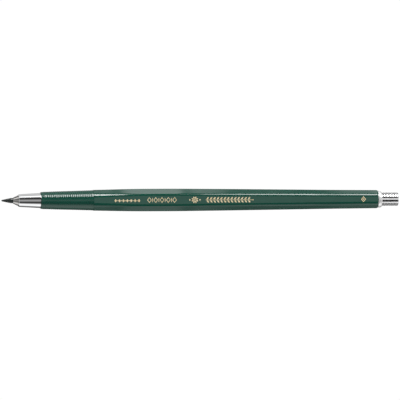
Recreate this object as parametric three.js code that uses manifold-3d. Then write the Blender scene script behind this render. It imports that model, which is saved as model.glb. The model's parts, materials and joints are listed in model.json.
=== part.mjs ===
// Push-button clutch lead holder for 2 mm drawing leads.
// Millimetres, +Z up. The holder lies along X: lead point towards -X, push
// button towards +X, one hexagon flat facing down (-Z) and one facing up.
// The origin is on the barrel axis, half way between lead point and button end.
// Axial positions (U_... and u) are measured from the lead point. "Front" is
// towards the point, "rear" towards the button. Angles are in degrees from +Z
// towards +Y.

import * as THREE from 'three';
import * as BufferGeometryUtils from 'three/addons/utils/BufferGeometryUtils.js';
import Module from 'manifold-3d';

const wasm = await Module();
wasm.setup();

// ---------------------------------------------------------- shared dimensions
const LENGTH = 152.4;            // lead point to button end
const FIT = 0.03;                // radial clearance between nested parts
const AXIAL_GAP = 0.08;          // clearance between parts that meet end to end

const FINE_SEGMENTS = 36;        // larger turned parts
const TUBE_SEGMENTS = 24;        // smaller turned parts

// barrel ends and bores
const U_BARREL_FRONT = 14.8;
const U_BARREL_REAR = 144.6;
const BUSH_SEAT_R = 2.76;
const U_BUSH_SEAT_END = 24.2;
const SPRING_ROOM_R = 2.62;
const U_SPRING_ROOM_END = 42.8;
const SPRING_ROOM_TAPER = 0.2;   // length of the cone down to the main bore
const MAIN_BORE_R = 2.45;
const U_FERRULE_SEAT = 138.3;
const FERRULE_SEAT_R = 2.88;

// lead and lead tube
const LEAD_R = 1.0;
const TUBE_R = 1.5;
const TUBE_BORE_R = 1.14;
const U_TUBE_FRONT = 26.1;
const U_TUBE_REAR = 141.0;
const ON_TUBE_R = TUBE_R + FIT;  // bore of the parts fitted round the tube

// conical mouth of the nose sleeve, which the jaws are drawn into
const U_MOUTH = 6.2;
const U_MOUTH_END = 9.2;
const MOUTH_R = 2.10;
const MOUTH_SLOPE = 1 / 6;       // radius lost per mm of depth
const mouthRadius = (u) => MOUTH_R - (u - U_MOUTH) * MOUTH_SLOPE;

// ------------------------------------------------------------------ materials
const standard = (settings) => new THREE.MeshStandardMaterial(settings);
const GREEN = standard({ color: 0x1c4a3b, roughness: 0.22, metalness: 0 });
const CHROME = standard({ color: 0xd9dcdd, roughness: 0.12, metalness: 1 });
const BRASS = standard({ color: 0xb99a55, roughness: 0.32, metalness: 1 });
const JAW_STEEL = standard({ color: 0xb4b6b6, roughness: 0.3, metalness: 1 });
const TUBE_STEEL = standard({ color: 0xa9adaf, roughness: 0.35, metalness: 1 });
const SPRING_STEEL = standard({ color: 0x8e9294, roughness: 0.3, metalness: 1 });
const DARK_STEEL = standard({ color: 0x55595b, roughness: 0.4, metalness: 1 });
const ACETAL = standard({ color: 0xe6e4da, roughness: 0.5, metalness: 0 });
const GRAPHITE = standard({ color: 0x2b2c2e, roughness: 0.42, metalness: 0.35 });

// -------------------------------------------------------------------- helpers
const toX = (u) => u - LENGTH / 2;
const toRadians = (degrees) => (degrees * Math.PI) / 180;

// [y, z] of a point at a radius and angle round the axis
const polar = (radius, angle) => [
  radius * Math.sin(toRadians(angle)),
  radius * Math.cos(toRadians(angle)),
];
const addPoints = ([y0, z0], [y1, z1]) => [y0 + y1, z0 + z1];

// bare, merged, outward-facing copy of a closed geometry
function tidy(geometry) {
  const bare = geometry.clone();
  bare.deleteAttribute('normal');
  bare.deleteAttribute('uv');
  const merged = BufferGeometryUtils.mergeVertices(bare, 1e-4);
  const { position } = merged.attributes;
  const source = merged.index.array;
  const corners = [new THREE.Vector3(), new THREE.Vector3(), new THREE.Vector3()];
  const kept = [];
  let volume = 0;              // six times the signed volume
  for (let i = 0; i < source.length; i += 3) {
    const triangle = Array.from(source.slice(i, i + 3));
    if (new Set(triangle).size < 3) continue;
    kept.push(...triangle);
    triangle.forEach((vertex, k) => corners[k].fromBufferAttribute(position, vertex));
    volume += corners[0].dot(corners[1].cross(corners[2]));
  }
  if (volume < 0) {
    for (let i = 0; i < kept.length; i += 3) {
      [kept[i + 1], kept[i + 2]] = [kept[i + 2], kept[i + 1]];
    }
  }
  merged.setIndex(kept);
  return merged;
}

function indexedGeometry(positions, indices) {
  const geometry = new THREE.BufferGeometry();
  geometry.setAttribute('position', new THREE.Float32BufferAttribute(positions, 3));
  geometry.setIndex(indices);
  return tidy(geometry);
}

// solid of revolution about X from an outline of [u, radius] points; the
// outline is closed unless it starts and ends on the axis
function revolve(outline, segments) {
  const onAxis = outline[0][1] === 0 && outline[outline.length - 1][1] === 0;
  const points = outline.map(([u, radius]) => new THREE.Vector2(radius, toX(u)));
  if (!onAxis) points.push(points[0].clone());
  const geometry = new THREE.LatheGeometry(points, segments);
  geometry.rotateZ(-Math.PI / 2);
  return tidy(geometry);
}

// Outline of a plain tube for revolve.
const tubeOutline = (uFront, uRear, inner, outer) => [
  [uFront, inner], [uFront, outer], [uRear, outer], [uRear, inner],
];

// A ring is [x, [[y, z], ...]]; radiusAt gives the radius of each point.
const ring = (u, radiusAt, count, phase) => [
  toX(u),
  Array.from({ length: count }, (_, j) => polar(radiusAt(j), phase + (360 / count) * j)),
];

// closed skin through a loop of rings with equal point counts
function ringLoop(rings) {
  const count = rings[0][1].length;
  const positions = rings.flatMap(([x, points]) => points.flatMap(([y, z]) => [x, y, z]));
  const indices = [];
  for (let i = 0; i < rings.length; i++) {
    const here = i * count;
    const next = ((i + 1) % rings.length) * count;
    for (let j = 0; j < count; j++) {
      const k = (j + 1) % count;
      indices.push(here + j, next + j, next + k);
      indices.push(here + j, next + k, here + k);
    }
  }
  return indexedGeometry(positions, indices);
}

// prism along X from an outline of [y, z] points, its front face at u
function prism(outline, u, depth) {
  const shape = new THREE.Shape(outline.map(([y, z]) => new THREE.Vector2(y, z)));
  const geometry = new THREE.ExtrudeGeometry(shape, { depth, bevelEnabled: false, steps: 1 });
  // shape x -> Y, shape y -> Z, extrusion -> X
  geometry.applyMatrix4(new THREE.Matrix4().makeBasis(
    new THREE.Vector3(0, 1, 0),
    new THREE.Vector3(0, 0, 1),
    new THREE.Vector3(1, 0, 0),
  ));
  geometry.translate(toX(u), 0, 0);
  return tidy(geometry);
}

const toSolid = (geometry) => new wasm.Manifold(new wasm.Mesh({
  numProp: 3,
  vertProperties: new Float32Array(geometry.attributes.position.array),
  triVerts: new Uint32Array(geometry.index.array),
}));

function fromSolid(solid) {
  const mesh = solid.getMesh();
  return indexedGeometry(Array.from(mesh.vertProperties), Array.from(mesh.triVerts));
}

const object = new THREE.Group();

function addPiece(name, geometry, material) {
  const mesh = new THREE.Mesh(geometry, material);
  mesh.name = name;
  object.add(mesh);
}

// --------------------------------------------------------------------- barrel
// round grip zone, then a bulged hexagon
const BARREL_POINTS = 36;        // points on every ring, six to a hexagon sector
const BARREL_PHASE = 30;         // angle of the first point, on a hexagon corner

const GRIP = [                   // [u, radius]
  [16.0, 3.275], [21.2, 3.462], [28.1, 3.64], [33.9, 3.815], [34.97, 3.85],
];
const RIM = [                    // [u, radius]
  [U_BARREL_FRONT, 3.12], [14.95, 3.215], GRIP[0],
];
const GROOVES = 22;              // rings around the grip
const GROOVE_PITCH = 0.8;
const GROOVE_DEPTH = 0.07;
const U_GROOVES = 16.6;

const HEX_ZONE = [               // [u, apothem, rounding of the six edges]
  [35.03, 3.695, 2.1], [38.6, 3.735, 1.98], [42.4, 3.775, 1.76], [46.6, 3.825, 1.5],
  [51.2, 3.852, 1.28], [56.0, 3.865, 1.2], [66.0, 3.865, 1.2], [73.2, 3.81, 1.28],
  [85.9, 3.73, 1.42], [98.6, 3.62, 1.52], [114.8, 3.468, 1.62], [126.4, 3.35, 1.7],
  [137.9, 3.265, 1.75], [143.95, 3.224, 1.76],
];
const REAR_CHAMFER = [           // [u, apothem, rounding, limiting radius]
  [144.25, 3.222, 1.76, 3.36], [U_BARREL_REAR, 3.22, 1.76, 3.1],
];
const BARREL_BORE = [            // [u, radius], from rear to front
  [U_BARREL_REAR, FERRULE_SEAT_R], [U_FERRULE_SEAT, FERRULE_SEAT_R],
  [U_FERRULE_SEAT, MAIN_BORE_R], [U_SPRING_ROOM_END, MAIN_BORE_R],
  [U_SPRING_ROOM_END - SPRING_ROOM_TAPER, SPRING_ROOM_R], [U_BUSH_SEAT_END, SPRING_ROOM_R],
  [U_BUSH_SEAT_END, BUSH_SEAT_R], [U_BARREL_FRONT, BUSH_SEAT_R],
];

// Hexagon section with rounded corners, 6 points to a sector: corner middle,
// end of the corner arc, three on the flat, start of the next corner arc.
function hexRing([u, apothem, rounding, limit = Infinity]) {
  const centreRadius = (apothem - rounding) / Math.cos(toRadians(30));
  const points = [];
  for (let k = 0; k < 6; k++) {
    const angle = BARREL_PHASE + 60 * k;
    const centre = polar(centreRadius, angle);
    const nextCentre = polar(centreRadius, angle + 60);
    const towardsFlat = polar(rounding, angle + 30);
    const start = addPoints(centre, towardsFlat);
    const end = addPoints(nextCentre, towardsFlat);
    points.push(addPoints(centre, polar(rounding, angle)), start);
    for (const t of [0.25, 0.5, 0.75]) {
      points.push([start[0] + (end[0] - start[0]) * t, start[1] + (end[1] - start[1]) * t]);
    }
    points.push(end);
  }
  return [toX(u), points.map(([y, z]) => {
    const scale = Math.min(1, limit / Math.hypot(y, z));
    return [y * scale, z * scale];
  })];
}

// radius of the grip zone at u, straight between the stated stations
function gripRadius(u) {
  let i = 0;
  while (i < GRIP.length - 2 && u > GRIP[i + 1][0]) i++;
  const [[u0, r0], [u1, r1]] = [GRIP[i], GRIP[i + 1]];
  return r0 + ((r1 - r0) * (u - u0)) / (u1 - u0);
}

// [u, radius] stations of the grooved grip: crests with a valley between each two
function gripStations() {
  const stations = [];
  for (let i = 0; i < GROOVES; i++) {
    const crest = U_GROOVES + GROOVE_PITCH * i;
    const valley = crest + GROOVE_PITCH / 2;
    stations.push([crest, gripRadius(crest)], [valley, gripRadius(valley) - GROOVE_DEPTH]);
  }
  const lastCrest = U_GROOVES + GROOVE_PITCH * GROOVES;
  stations.push([lastCrest, gripRadius(lastCrest)], GRIP[GRIP.length - 1]);
  return stations;
}

const barrelCircle = ([u, radius]) => ring(u, () => radius, BARREL_POINTS, BARREL_PHASE);
addPiece('barrel', ringLoop([
  ...[...RIM, ...gripStations()].map(barrelCircle),
  ...[...HEX_ZONE, ...REAR_CHAMFER].map(hexRing),
  ...BARREL_BORE.map(barrelCircle),
]), GREEN);

// brass insert in the barrel's mouth
const BUSH_BORE_R = 2.34;
addPiece('front_bush', revolve(
  tubeOutline(15.1, 24.1, BUSH_BORE_R, BUSH_SEAT_R - FIT),
  FINE_SEGMENTS,
), BRASS);

// ----------------------------------------------------------------------- nose
const U_SLEEVE_SHOULDER = 14.74;
const U_SLEEVE_REAR = 23.9;
const SLEEVE_TAIL_R = BUSH_BORE_R - FIT;
const SLEEVE_BORE_R = 1.98;
addPiece('nose_sleeve', revolve([
  [U_MOUTH, MOUTH_R], [U_MOUTH, 2.2], [6.42, 2.36], [7.0, 2.46],
  [U_SLEEVE_SHOULDER, 2.88], [U_SLEEVE_SHOULDER, SLEEVE_TAIL_R],
  [U_SLEEVE_REAR, SLEEVE_TAIL_R], [U_SLEEVE_REAR, SLEEVE_BORE_R],
  [9.75, SLEEVE_BORE_R], [U_MOUTH_END, mouthRadius(U_MOUTH_END)],
], FINE_SEGMENTS), CHROME);

// --------------------------------------------------------------------- clutch
// Three spring legs with conical heads, sawn from one turned piece. The back
// cone of the head seats in the sleeve's mouth and closes the jaws on the lead.
const JAWS = 3;
const JAW_PITCH = 360 / JAWS;
const JAW_PHASE = -8;            // angle of the middle of the first jaw
const JAW_SLOT = 0.36;           // width of the saw cut
const U_JAW_FRONT = 4.2;
const U_JAW_ROOT = 18.5;
const JAW_GRIP_R = LEAD_R + 0.02;  // gripping bore of the closed jaws
const SEAT_GAP = 0.035;          // between head and mouth
const COLLET_R = 1.4;
const COLLET_BORE_R = 1.1;

const headRadius = (u) => mouthRadius(u) - SEAT_GAP;
const colletBlank = toSolid(revolve([
  [U_JAW_FRONT, JAW_GRIP_R], [U_JAW_FRONT, 1.15], [6.0, 2.01], [6.25, headRadius(6.25)],
  [U_MOUTH_END, headRadius(U_MOUTH_END)], [9.6, COLLET_R],
  [U_JAW_ROOT, COLLET_R], [U_JAW_ROOT, COLLET_BORE_R], [9.0, COLLET_BORE_R],
  [8.8, JAW_GRIP_R],
], FINE_SEGMENTS));

// one jaw's share of the blank, its side planes moved in by half the saw cut
function jawWedge(angle) {
  const halfAngle = JAW_PITCH / 2;
  const apexRadius = (JAW_SLOT / 2) / Math.sin(toRadians(halfAngle));
  const reach = 6;               // well outside the blank
  const [uStart, depth] = [2, 20];  // beyond both ends of the blank
  const apex = polar(apexRadius, angle);
  return prism([
    apex,
    addPoints(apex, polar(reach, angle - halfAngle)),
    polar(reach + apexRadius, angle),
    addPoints(apex, polar(reach, angle + halfAngle)),
  ], uStart, depth);
}

for (let i = 0; i < JAWS; i++) {
  const wedge = toSolid(jawWedge(JAW_PHASE + JAW_PITCH * i));
  addPiece(`jaw_${i + 1}`, fromSolid(colletBlank.intersect(wedge)), JAW_STEEL);
}

// unslotted tail of the collet
const U_TAIL_FRONT = U_JAW_ROOT + AXIAL_GAP;
const U_TAIL_REAR = U_TUBE_FRONT - 0.1;
addPiece('collet_body', revolve([
  [U_TAIL_FRONT, COLLET_BORE_R], [U_TAIL_FRONT, COLLET_R], [21.8, COLLET_R],
  [22.1, TUBE_R], [U_TAIL_REAR, TUBE_R], [U_TAIL_REAR, COLLET_BORE_R],
], TUBE_SEGMENTS), JAW_STEEL);

// coupling between collet tail and lead tube
addPiece('tube_coupler', revolve([
  [22.6, ON_TUBE_R], [22.6, 1.66], [22.8, 1.74],
  [29.4, 1.74], [29.6, 1.66], [29.6, ON_TUBE_R],
], TUBE_SEGMENTS), BRASS);

addPiece('lead_tube', revolve(
  tubeOutline(U_TUBE_FRONT, U_TUBE_REAR, TUBE_BORE_R, TUBE_R),
  TUBE_SEGMENTS,
), TUBE_STEEL);

// --------------------------------------------------------------------- spring
addPiece('front_washer', revolve(
  tubeOutline(U_BUSH_SEAT_END, 24.6, 1.86, 2.57),
  TUBE_SEGMENTS,
), DARK_STEEL);

const WIRE_R = 0.2;
const WIRE_SIDES = 6;
const COIL_R = 2.16;
const COILS = 9;
const STEPS_PER_COIL = 11;
const CLOSED_ADVANCE = 2.15 * WIRE_R;  // advance of a closed turn
const U_SPRING_FRONT = 24.72;
const U_SPRING_REAR = 40.72;

// helix with one closed turn at each end
class SpringCurve extends THREE.Curve {
  getPoint(t, target = new THREE.Vector3()) {
    const first = U_SPRING_FRONT + WIRE_R;
    const last = U_SPRING_REAR - WIRE_R;
    const openAdvance = (last - first - 2 * CLOSED_ADVANCE) / (COILS - 2);
    const turn = t * COILS;
    let u;
    if (turn < 1) u = first + CLOSED_ADVANCE * turn;
    else if (turn > COILS - 1) u = last - CLOSED_ADVANCE * (COILS - turn);
    else u = first + CLOSED_ADVANCE + openAdvance * (turn - 1);
    const [y, z] = polar(COIL_R, 360 * turn);
    return target.set(toX(u), y, z);
  }
}

function springGeometry() {
  const wire = new THREE.Shape(Array.from({ length: WIRE_SIDES }, (_, i) => {
    const angle = toRadians((360 / WIRE_SIDES) * i);
    return new THREE.Vector2(WIRE_R * Math.cos(angle), WIRE_R * Math.sin(angle));
  }));
  return tidy(new THREE.ExtrudeGeometry(wire, {
    steps: COILS * STEPS_PER_COIL,
    bevelEnabled: false,
    extrudePath: new SpringCurve(),
  }));
}
addPiece('return_spring', springGeometry(), SPRING_STEEL);

// narrow front part inside the coils, flange behind the spring
const COLLAR_BORE_R = 1.545;
const U_COLLAR_FLANGE = U_SPRING_REAR + AXIAL_GAP;
const U_COLLAR_REAR = 41.9;
addPiece('spring_collar', revolve([
  [39.5, COLLAR_BORE_R], [39.5, 1.88], [U_COLLAR_FLANGE, 1.88],
  [U_COLLAR_FLANGE, 2.42], [U_COLLAR_REAR, 2.42], [U_COLLAR_REAR, COLLAR_BORE_R],
], TUBE_SEGMENTS), BRASS);

// open snap ring on the tube behind the collar, its gap facing up
function snapRing() {
  const halfGap = 24;            // degrees
  const outerRadius = 2.1;
  const thickness = 0.5;
  const steps = 16;
  const arc = (radius) => Array.from({ length: steps + 1 }, (_, i) =>
    polar(radius, halfGap + ((360 - 2 * halfGap) * i) / steps));
  const outline = [...arc(outerRadius), ...arc(ON_TUBE_R).reverse()];
  return prism(outline, U_COLLAR_REAR + AXIAL_GAP, thickness);
}
addPiece('retaining_ring', snapRing(), DARK_STEEL);

// ----------------------------------------------------------------------- rear
addPiece('rear_bush', revolve(
  tubeOutline(130.0, 133.5, 1.58, MAIN_BORE_R - FIT),
  TUBE_SEGMENTS,
), ACETAL);

const FERRULE_R = FERRULE_SEAT_R - FIT;
const FERRULE_BORE_R = 2.67;
addPiece('rear_ferrule', revolve([
  [138.5, FERRULE_BORE_R], [138.5, FERRULE_R], [144.62, FERRULE_R], [144.66, 3.2],
  [145.2, 3.2], [145.7, 3.1], [146.0, 2.95], [146.1, 2.86], [146.1, FERRULE_BORE_R],
], FINE_SEGMENTS), CHROME);

const BUTTON_BORE_R = 1.8;
const CORE_R = BUTTON_BORE_R - FIT;
const CORE_BORE_R = 1.2;
const U_CORE_STEP = U_TUBE_REAR + 0.1;  // wider bore in front takes the tube
addPiece('button_core', revolve([
  [138.0, ON_TUBE_R], [138.0, CORE_R], [151.4, CORE_R],
  [151.4, CORE_BORE_R], [U_CORE_STEP, CORE_BORE_R], [U_CORE_STEP, ON_TUBE_R],
], TUBE_SEGMENTS), BRASS);

// knurled cap: studs cut by lengthwise and ring grooves, plain guided skirt in
// front, blind bore
const U_SKIRT_FRONT = 137.4;
const SKIRT_R = 2.4;
const U_BORE_BOTTOM = 151.6;
const BUTTON_END_R = 2.25;
const KNURL_R = 2.56;
const KNURL_DEPTH = 0.15;
const KNURL_TEETH = 11;          // lengthwise grooves
const KNURL_PHASE = 18;          // angle of one of them
const KNURL_ROWS = 6;            // rows of studs between ring grooves
const KNURL_FLANK = 0.27;        // axial length of a ring groove's side
const POINTS_PER_TOOTH = 4;
const U_KNURL = 145.4;
const U_KNURL_END = 151.95;

function buttonGeometry() {
  const valleyRadius = KNURL_R - KNURL_DEPTH;
  const buttonRing = (u, radiusAt) =>
    ring(u, radiusAt, POINTS_PER_TOOTH * KNURL_TEETH, KNURL_PHASE);
  const plain = (u, radius) => buttonRing(u, () => radius);
  const studs = (u) => buttonRing(u, (j) => (j % POINTS_PER_TOOTH ? KNURL_R : valleyRadius));

  // rings of zero radius close the bottom of the bore and the end face
  const rings = [
    plain(U_BORE_BOTTOM, 0),
    plain(U_BORE_BOTTOM, BUTTON_BORE_R),
    plain(U_SKIRT_FRONT, BUTTON_BORE_R),
    plain(U_SKIRT_FRONT, SKIRT_R),
    plain(U_KNURL - 0.15, SKIRT_R),
  ];
  const pitch = (U_KNURL_END - U_KNURL) / KNURL_ROWS;
  for (let i = 0; i < KNURL_ROWS; i++) {
    const u = U_KNURL + pitch * i;
    const frontFlank = i > 0 ? KNURL_FLANK : 0;
    const rearFlank = i < KNURL_ROWS - 1 ? KNURL_FLANK : 0;
    if (i > 0) rings.push(plain(u, valleyRadius));
    rings.push(studs(u + frontFlank), studs(u + pitch - rearFlank));
  }
  rings.push(plain(LENGTH, BUTTON_END_R), plain(LENGTH, 0));
  return ringLoop(rings);
}
addPiece('push_button', buttonGeometry(), CHROME);

// ----------------------------------------------------------------------- lead
const LEAD_LENGTH = 130;
const LEAD_CONE = 3.4;           // length of the sharpened point
addPiece('lead', revolve([
  [0, 0], [0.03, 0.08], [0.22, 0.17], [LEAD_CONE, LEAD_R],
  [LEAD_LENGTH, LEAD_R], [LEAD_LENGTH, 0],
], TUBE_SEGMENTS), GRAPHITE);

export default object;
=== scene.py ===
# Looks of the push-button lead holder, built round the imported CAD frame.
# The barrel axis is world X: the lead point is the -X end and the push button the +X end.
# Pieces are drawn in millimetres: "along" is the distance from the lead point along the
# axis, "radius" the distance from it, and angles are in degrees from +Z towards +Y.
import json
import math
from functools import cached_property

import bmesh
import bpy
import numpy as np
from mathutils import Matrix, Vector


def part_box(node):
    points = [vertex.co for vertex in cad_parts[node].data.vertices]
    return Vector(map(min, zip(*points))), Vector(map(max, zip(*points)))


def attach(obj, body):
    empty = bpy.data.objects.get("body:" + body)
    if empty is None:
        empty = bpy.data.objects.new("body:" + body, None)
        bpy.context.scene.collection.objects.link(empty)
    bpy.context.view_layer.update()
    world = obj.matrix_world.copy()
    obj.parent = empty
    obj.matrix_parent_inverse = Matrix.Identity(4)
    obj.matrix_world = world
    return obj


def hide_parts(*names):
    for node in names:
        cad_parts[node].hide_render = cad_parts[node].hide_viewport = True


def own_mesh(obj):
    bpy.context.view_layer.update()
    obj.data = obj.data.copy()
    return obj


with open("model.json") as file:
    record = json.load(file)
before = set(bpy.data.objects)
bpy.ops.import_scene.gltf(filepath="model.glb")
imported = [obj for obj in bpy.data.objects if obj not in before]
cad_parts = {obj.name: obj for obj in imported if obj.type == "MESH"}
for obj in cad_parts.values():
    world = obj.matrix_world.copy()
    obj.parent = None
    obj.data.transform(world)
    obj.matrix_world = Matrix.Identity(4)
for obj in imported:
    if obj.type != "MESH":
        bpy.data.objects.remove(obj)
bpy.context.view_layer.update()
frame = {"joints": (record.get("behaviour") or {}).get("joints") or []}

MM = 0.001
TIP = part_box("lead")[0].x            # world x of the lead point, in metres
scene = bpy.context.scene

# ------------------------------------------------------------------ dimensions
BUTTON_END = (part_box("push_button")[1].x - TIP) / MM
MOUTH = 14.8                         # front end of the barrel
HEX_START = 35.0                     # where the round grip gives way to the hexagon
BARREL_END = 144.6
R_BUSH_SEAT, R_SPRING_ROOM, R_MAIN_BORE, R_FERRULE_SEAT = 2.76, 2.62, 2.45, 2.88
R_LEAD = 0.999


def polar(radius, angle):
    """(y, z) at a radius and angle."""
    return radius * math.sin(math.radians(angle)), radius * math.cos(math.radians(angle))


# ---------------------------------------------------------------- shader graphs
class Graph:
    """Short forms for shader nodes. Numbers and output sockets can be used alike."""

    def __init__(self, tree, coordinates="Object"):
        self.tree = tree
        self.coordinates = coordinates
        tree.nodes.clear()

    @cached_property
    def position(self):
        return self.node("TexCoord").outputs[self.coordinates]

    def feed(self, node, inputs):
        """Link or set inputs; None leaves one alone, and a colour gets full alpha."""
        for key, value in inputs.items():
            if isinstance(value, bpy.types.NodeSocket):
                self.tree.links.new(value, node.inputs[key])
            elif isinstance(value, tuple):
                node.inputs[key].default_value = (*value, 1.0)
            elif value is not None:
                node.inputs[key].default_value = value

    def node(self, kind, inputs=None, **settings):
        node = self.tree.nodes.new("ShaderNode" + kind)
        for key, value in settings.items():
            setattr(node, key, value)
        self.feed(node, inputs or {})
        return node

    def noise(self, vector, scale=1.0, detail=3.0, rough=0.55, distortion=0.0):
        return self.node("TexNoise", {
            "Vector": vector, "Scale": scale, "Detail": detail, "Roughness": rough,
            "Distortion": distortion}).outputs["Fac"]

    def grain(self, along, across, **noise):
        """Noise with its frequency, per metre, along the barrel axis and across it."""
        mapping = self.node("Mapping", {"Vector": self.position})
        mapping.inputs["Scale"].default_value = (along, across, across)
        return self.noise(mapping.outputs[0], **noise)

    def turned_rings(self, frequency):
        """Fine lathe rings: along the axis on round faces, concentric on end faces."""
        x, y, z = self.split()
        radius = self.math("SQRT", self.plus(self.times(y, y), self.times(z, z)))
        vector = self.node("CombineXYZ", {0: self.times(x, frequency),
                                          1: self.times(radius, frequency)})
        return self.noise(vector.outputs[0], detail=2.0, rough=0.5)

    def split(self):
        return self.node("SeparateXYZ", {0: self.position}).outputs

    def math(self, operation, first, second=None, third=None):
        return self.node("Math", {0: first, 1: second, 2: third}, operation=operation).outputs[0]

    def times(self, first, second):
        return self.math("MULTIPLY", first, second)

    def plus(self, total, *terms):
        for term in terms:
            total = self.math("ADD", total, term)
        return total

    def rest(self, value):
        """One less the value."""
        return self.math("SUBTRACT", 1.0, value)

    def span(self, value, low, high, to=(0.0, 1.0), smooth=False):
        """The range low to high carried onto another range, and clamped there."""
        return self.node("MapRange", {
            "Value": value, "From Min": low, "From Max": high, "To Min": to[0], "To Max": to[1],
        }, interpolation_type="SMOOTHSTEP" if smooth else "LINEAR").outputs["Result"]

    def mix(self, factor, first, second):
        return self.node("Mix", {0: factor, 6: first, 7: second}, data_type="RGBA").outputs[2]

    def ramp(self, value, stops):
        """Value between 0 and 1 read off a list of (position, level) stops."""
        ramp = self.node("ValToRGB", {0: value})
        elements = ramp.color_ramp.elements
        while len(elements) > 1:
            elements.remove(elements[-1])
        for i, (place, level) in enumerate(stops):
            element = elements[0] if i == 0 else elements.new(place)
            element.position = place
            element.color = (level, level, level, 1.0)
        return ramp.outputs[0]

    def bump(self, height, strength, distance, under=None):
        """Bumped normal, laid over another normal if one is given. Distance in metres."""
        return self.node("Bump", {"Height": height, "Strength": strength,
                                  "Distance": distance, "Normal": under}).outputs[0]

    def attribute(self, name):
        return self.node("Attribute", attribute_name=name).outputs["Fac"]


class Look(Graph):
    """A material: its graph and the shader it ends in."""

    def __init__(self, name, shader="BsdfPrincipled"):
        self.material = bpy.data.materials.new(name)
        self.material.use_nodes = True
        super().__init__(self.material.node_tree)
        self.shader = self.node(shader)
        self.node("OutputMaterial", {0: self.shader.outputs[0]})

    def surface(self, inputs):
        self.feed(self.shader, inputs)
        return self.material


# -------------------------------------------------------------------- materials
# Polish left on the barrel's rounded edges: (along, polish)
POLISH_REACH = 152.4
EDGE_POLISH = [
    (34.6, 0.78), (38.9, 0.90), (41.2, 0.70), (43.5, 0.54), (45.8, 0.48), (48.1, 0.14),
    (50.4, 0.06), (75.0, 0.10), (78.1, 0.42), (82.8, 0.46), (87.4, 0.54), (92.0, 0.62),
    (96.6, 0.70), (101.2, 0.76), (108.2, 0.80), (115.1, 0.87), (119.3, 0.96), (122.0, 0.70),
    (124.3, 0.58), (128.9, 0.57), (131.2, 0.73), (135.9, 0.84), (140.5, 1.0),
]


def barrel_material():
    """Deep green moulded plastic: polished hexagon with faint orange peel, rubbed edges and
    hairline handling marks; satin grip with fine moulding grain."""
    look = Look("barrel_green")
    x = look.split()[0]
    grip = look.span(x, low=TIP + 35.1 * MM, high=TIP + 34.8 * MM)
    # colour: mottled green, paler where the edges are rubbed
    deep, lighter, rubbed = (0.0035, 0.0490, 0.0325), (0.0060, 0.0570, 0.0380), (0.020, 0.085, 0.060)
    mottle = look.grain(along=60, across=240, scale=4.0, detail=4)
    edge = look.attribute("edge")
    patches = look.grain(along=500, across=2600, detail=5, rough=0.65)
    rub = look.times(edge, look.span(patches, low=0.52, high=0.75))
    base = look.mix(look.span(mottle, low=0.3, high=0.7), deep, lighter)
    base = look.mix(look.times(rub, 0.35), base, rubbed)
    # roughness: smears, with shares added by the rub, the grip and the hairlines
    hair = look.grain(along=350, across=9000, detail=2, rough=0.5, distortion=0.3)
    smear = look.grain(along=120, across=300)
    rough = look.plus(
        look.span(smear, low=0.3, high=0.7, to=(0.030, 0.050)),
        look.times(rub, 0.06),
        look.times(grip, 0.12),
        look.times(look.span(hair, low=0.60, high=0.72), 0.04))
    # specular level: 0.5, falling to nothing on edges that have lost their polish
    share = look.span(x, low=TIP, high=TIP + POLISH_REACH * MM)
    polish = look.ramp(share, [(along / POLISH_REACH, level) for along, level in EDGE_POLISH])
    dulled = look.times(look.span(edge, low=0.48, high=0.70, smooth=True), look.rest(polish))
    # relief: orange peel, moulding grain that is strong on the grip only, hairlines
    peel = look.grain(along=900, across=900, detail=2)
    moulding = look.grain(along=7000, across=7000)
    moulding = look.times(moulding, look.plus(look.times(grip, 0.85), 0.03))
    normal = look.bump(peel, strength=0.02, distance=4e-6)
    normal = look.bump(moulding, strength=0.25, distance=10e-6, under=normal)
    normal = look.bump(hair, strength=0.03, distance=4e-6, under=normal)
    return look.surface({
        "Base Color": base, "Roughness": rough, "IOR": 1.56, "Normal": normal,
        "Specular IOR Level": look.math("MULTIPLY_ADD", dulled, -0.5, 0.5)})


def metal_material(name, colour, dark, rough, turning, wear,
                   frequency=16000, spots=0.0, painted_groove_shade=False, metal=1.0):
    """Turned metal: fine rings round the axis, cloudy tone, small handling scratches.
    Turning is the strength of the rings, wear that of the clouds, spots that of dark flecks. A flag
    paints shade, near black and less specular, into the bottoms of grooves."""
    look = Look(name)
    cloud = look.grain(along=260, across=420, detail=4, rough=0.6)
    rings = look.turned_rings(frequency)
    scratch = look.grain(along=2600, across=700, detail=5, rough=0.7, distortion=1.2)
    base = look.mix(look.span(cloud, low=0.25, high=0.75, to=(0.0, wear)), colour, dark)
    ring_tone = look.times(look.span(rings, low=0.35, high=0.75), 0.25 * turning)
    base = look.mix(ring_tone, base, dark)
    if spots:
        fleck = look.grain(along=3000, across=3000, detail=2)
        base = look.mix(look.times(look.span(fleck, low=0.62, high=0.7), spots), base, dark)
    if painted_groove_shade:                                          # painted shade: near-black, less specular colour in the bottoms of the grooves
        groove_shade = look.span(look.attribute("groove"), low=0.05, high=0.22, smooth=True)
        base = look.mix(groove_shade, base, (0.010, 0.010, 0.011))
        look.surface({"Specular IOR Level": look.times(look.rest(groove_shade), 0.5)})
    # roughness: clouds, raised along the scratches
    roughness = look.plus(
        look.span(cloud, low=0.3, high=0.7, to=(rough * 0.8, rough * 1.25)),
        look.times(look.span(scratch, low=0.6, high=0.75), rough * 0.8))
    normal = look.bump(rings, strength=turning, distance=6e-6)
    normal = look.bump(scratch, strength=0.10, distance=6e-6, under=normal)
    return look.surface({"Base Color": base, "Metallic": metal, "Roughness": roughness,
                         "Normal": normal})


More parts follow.
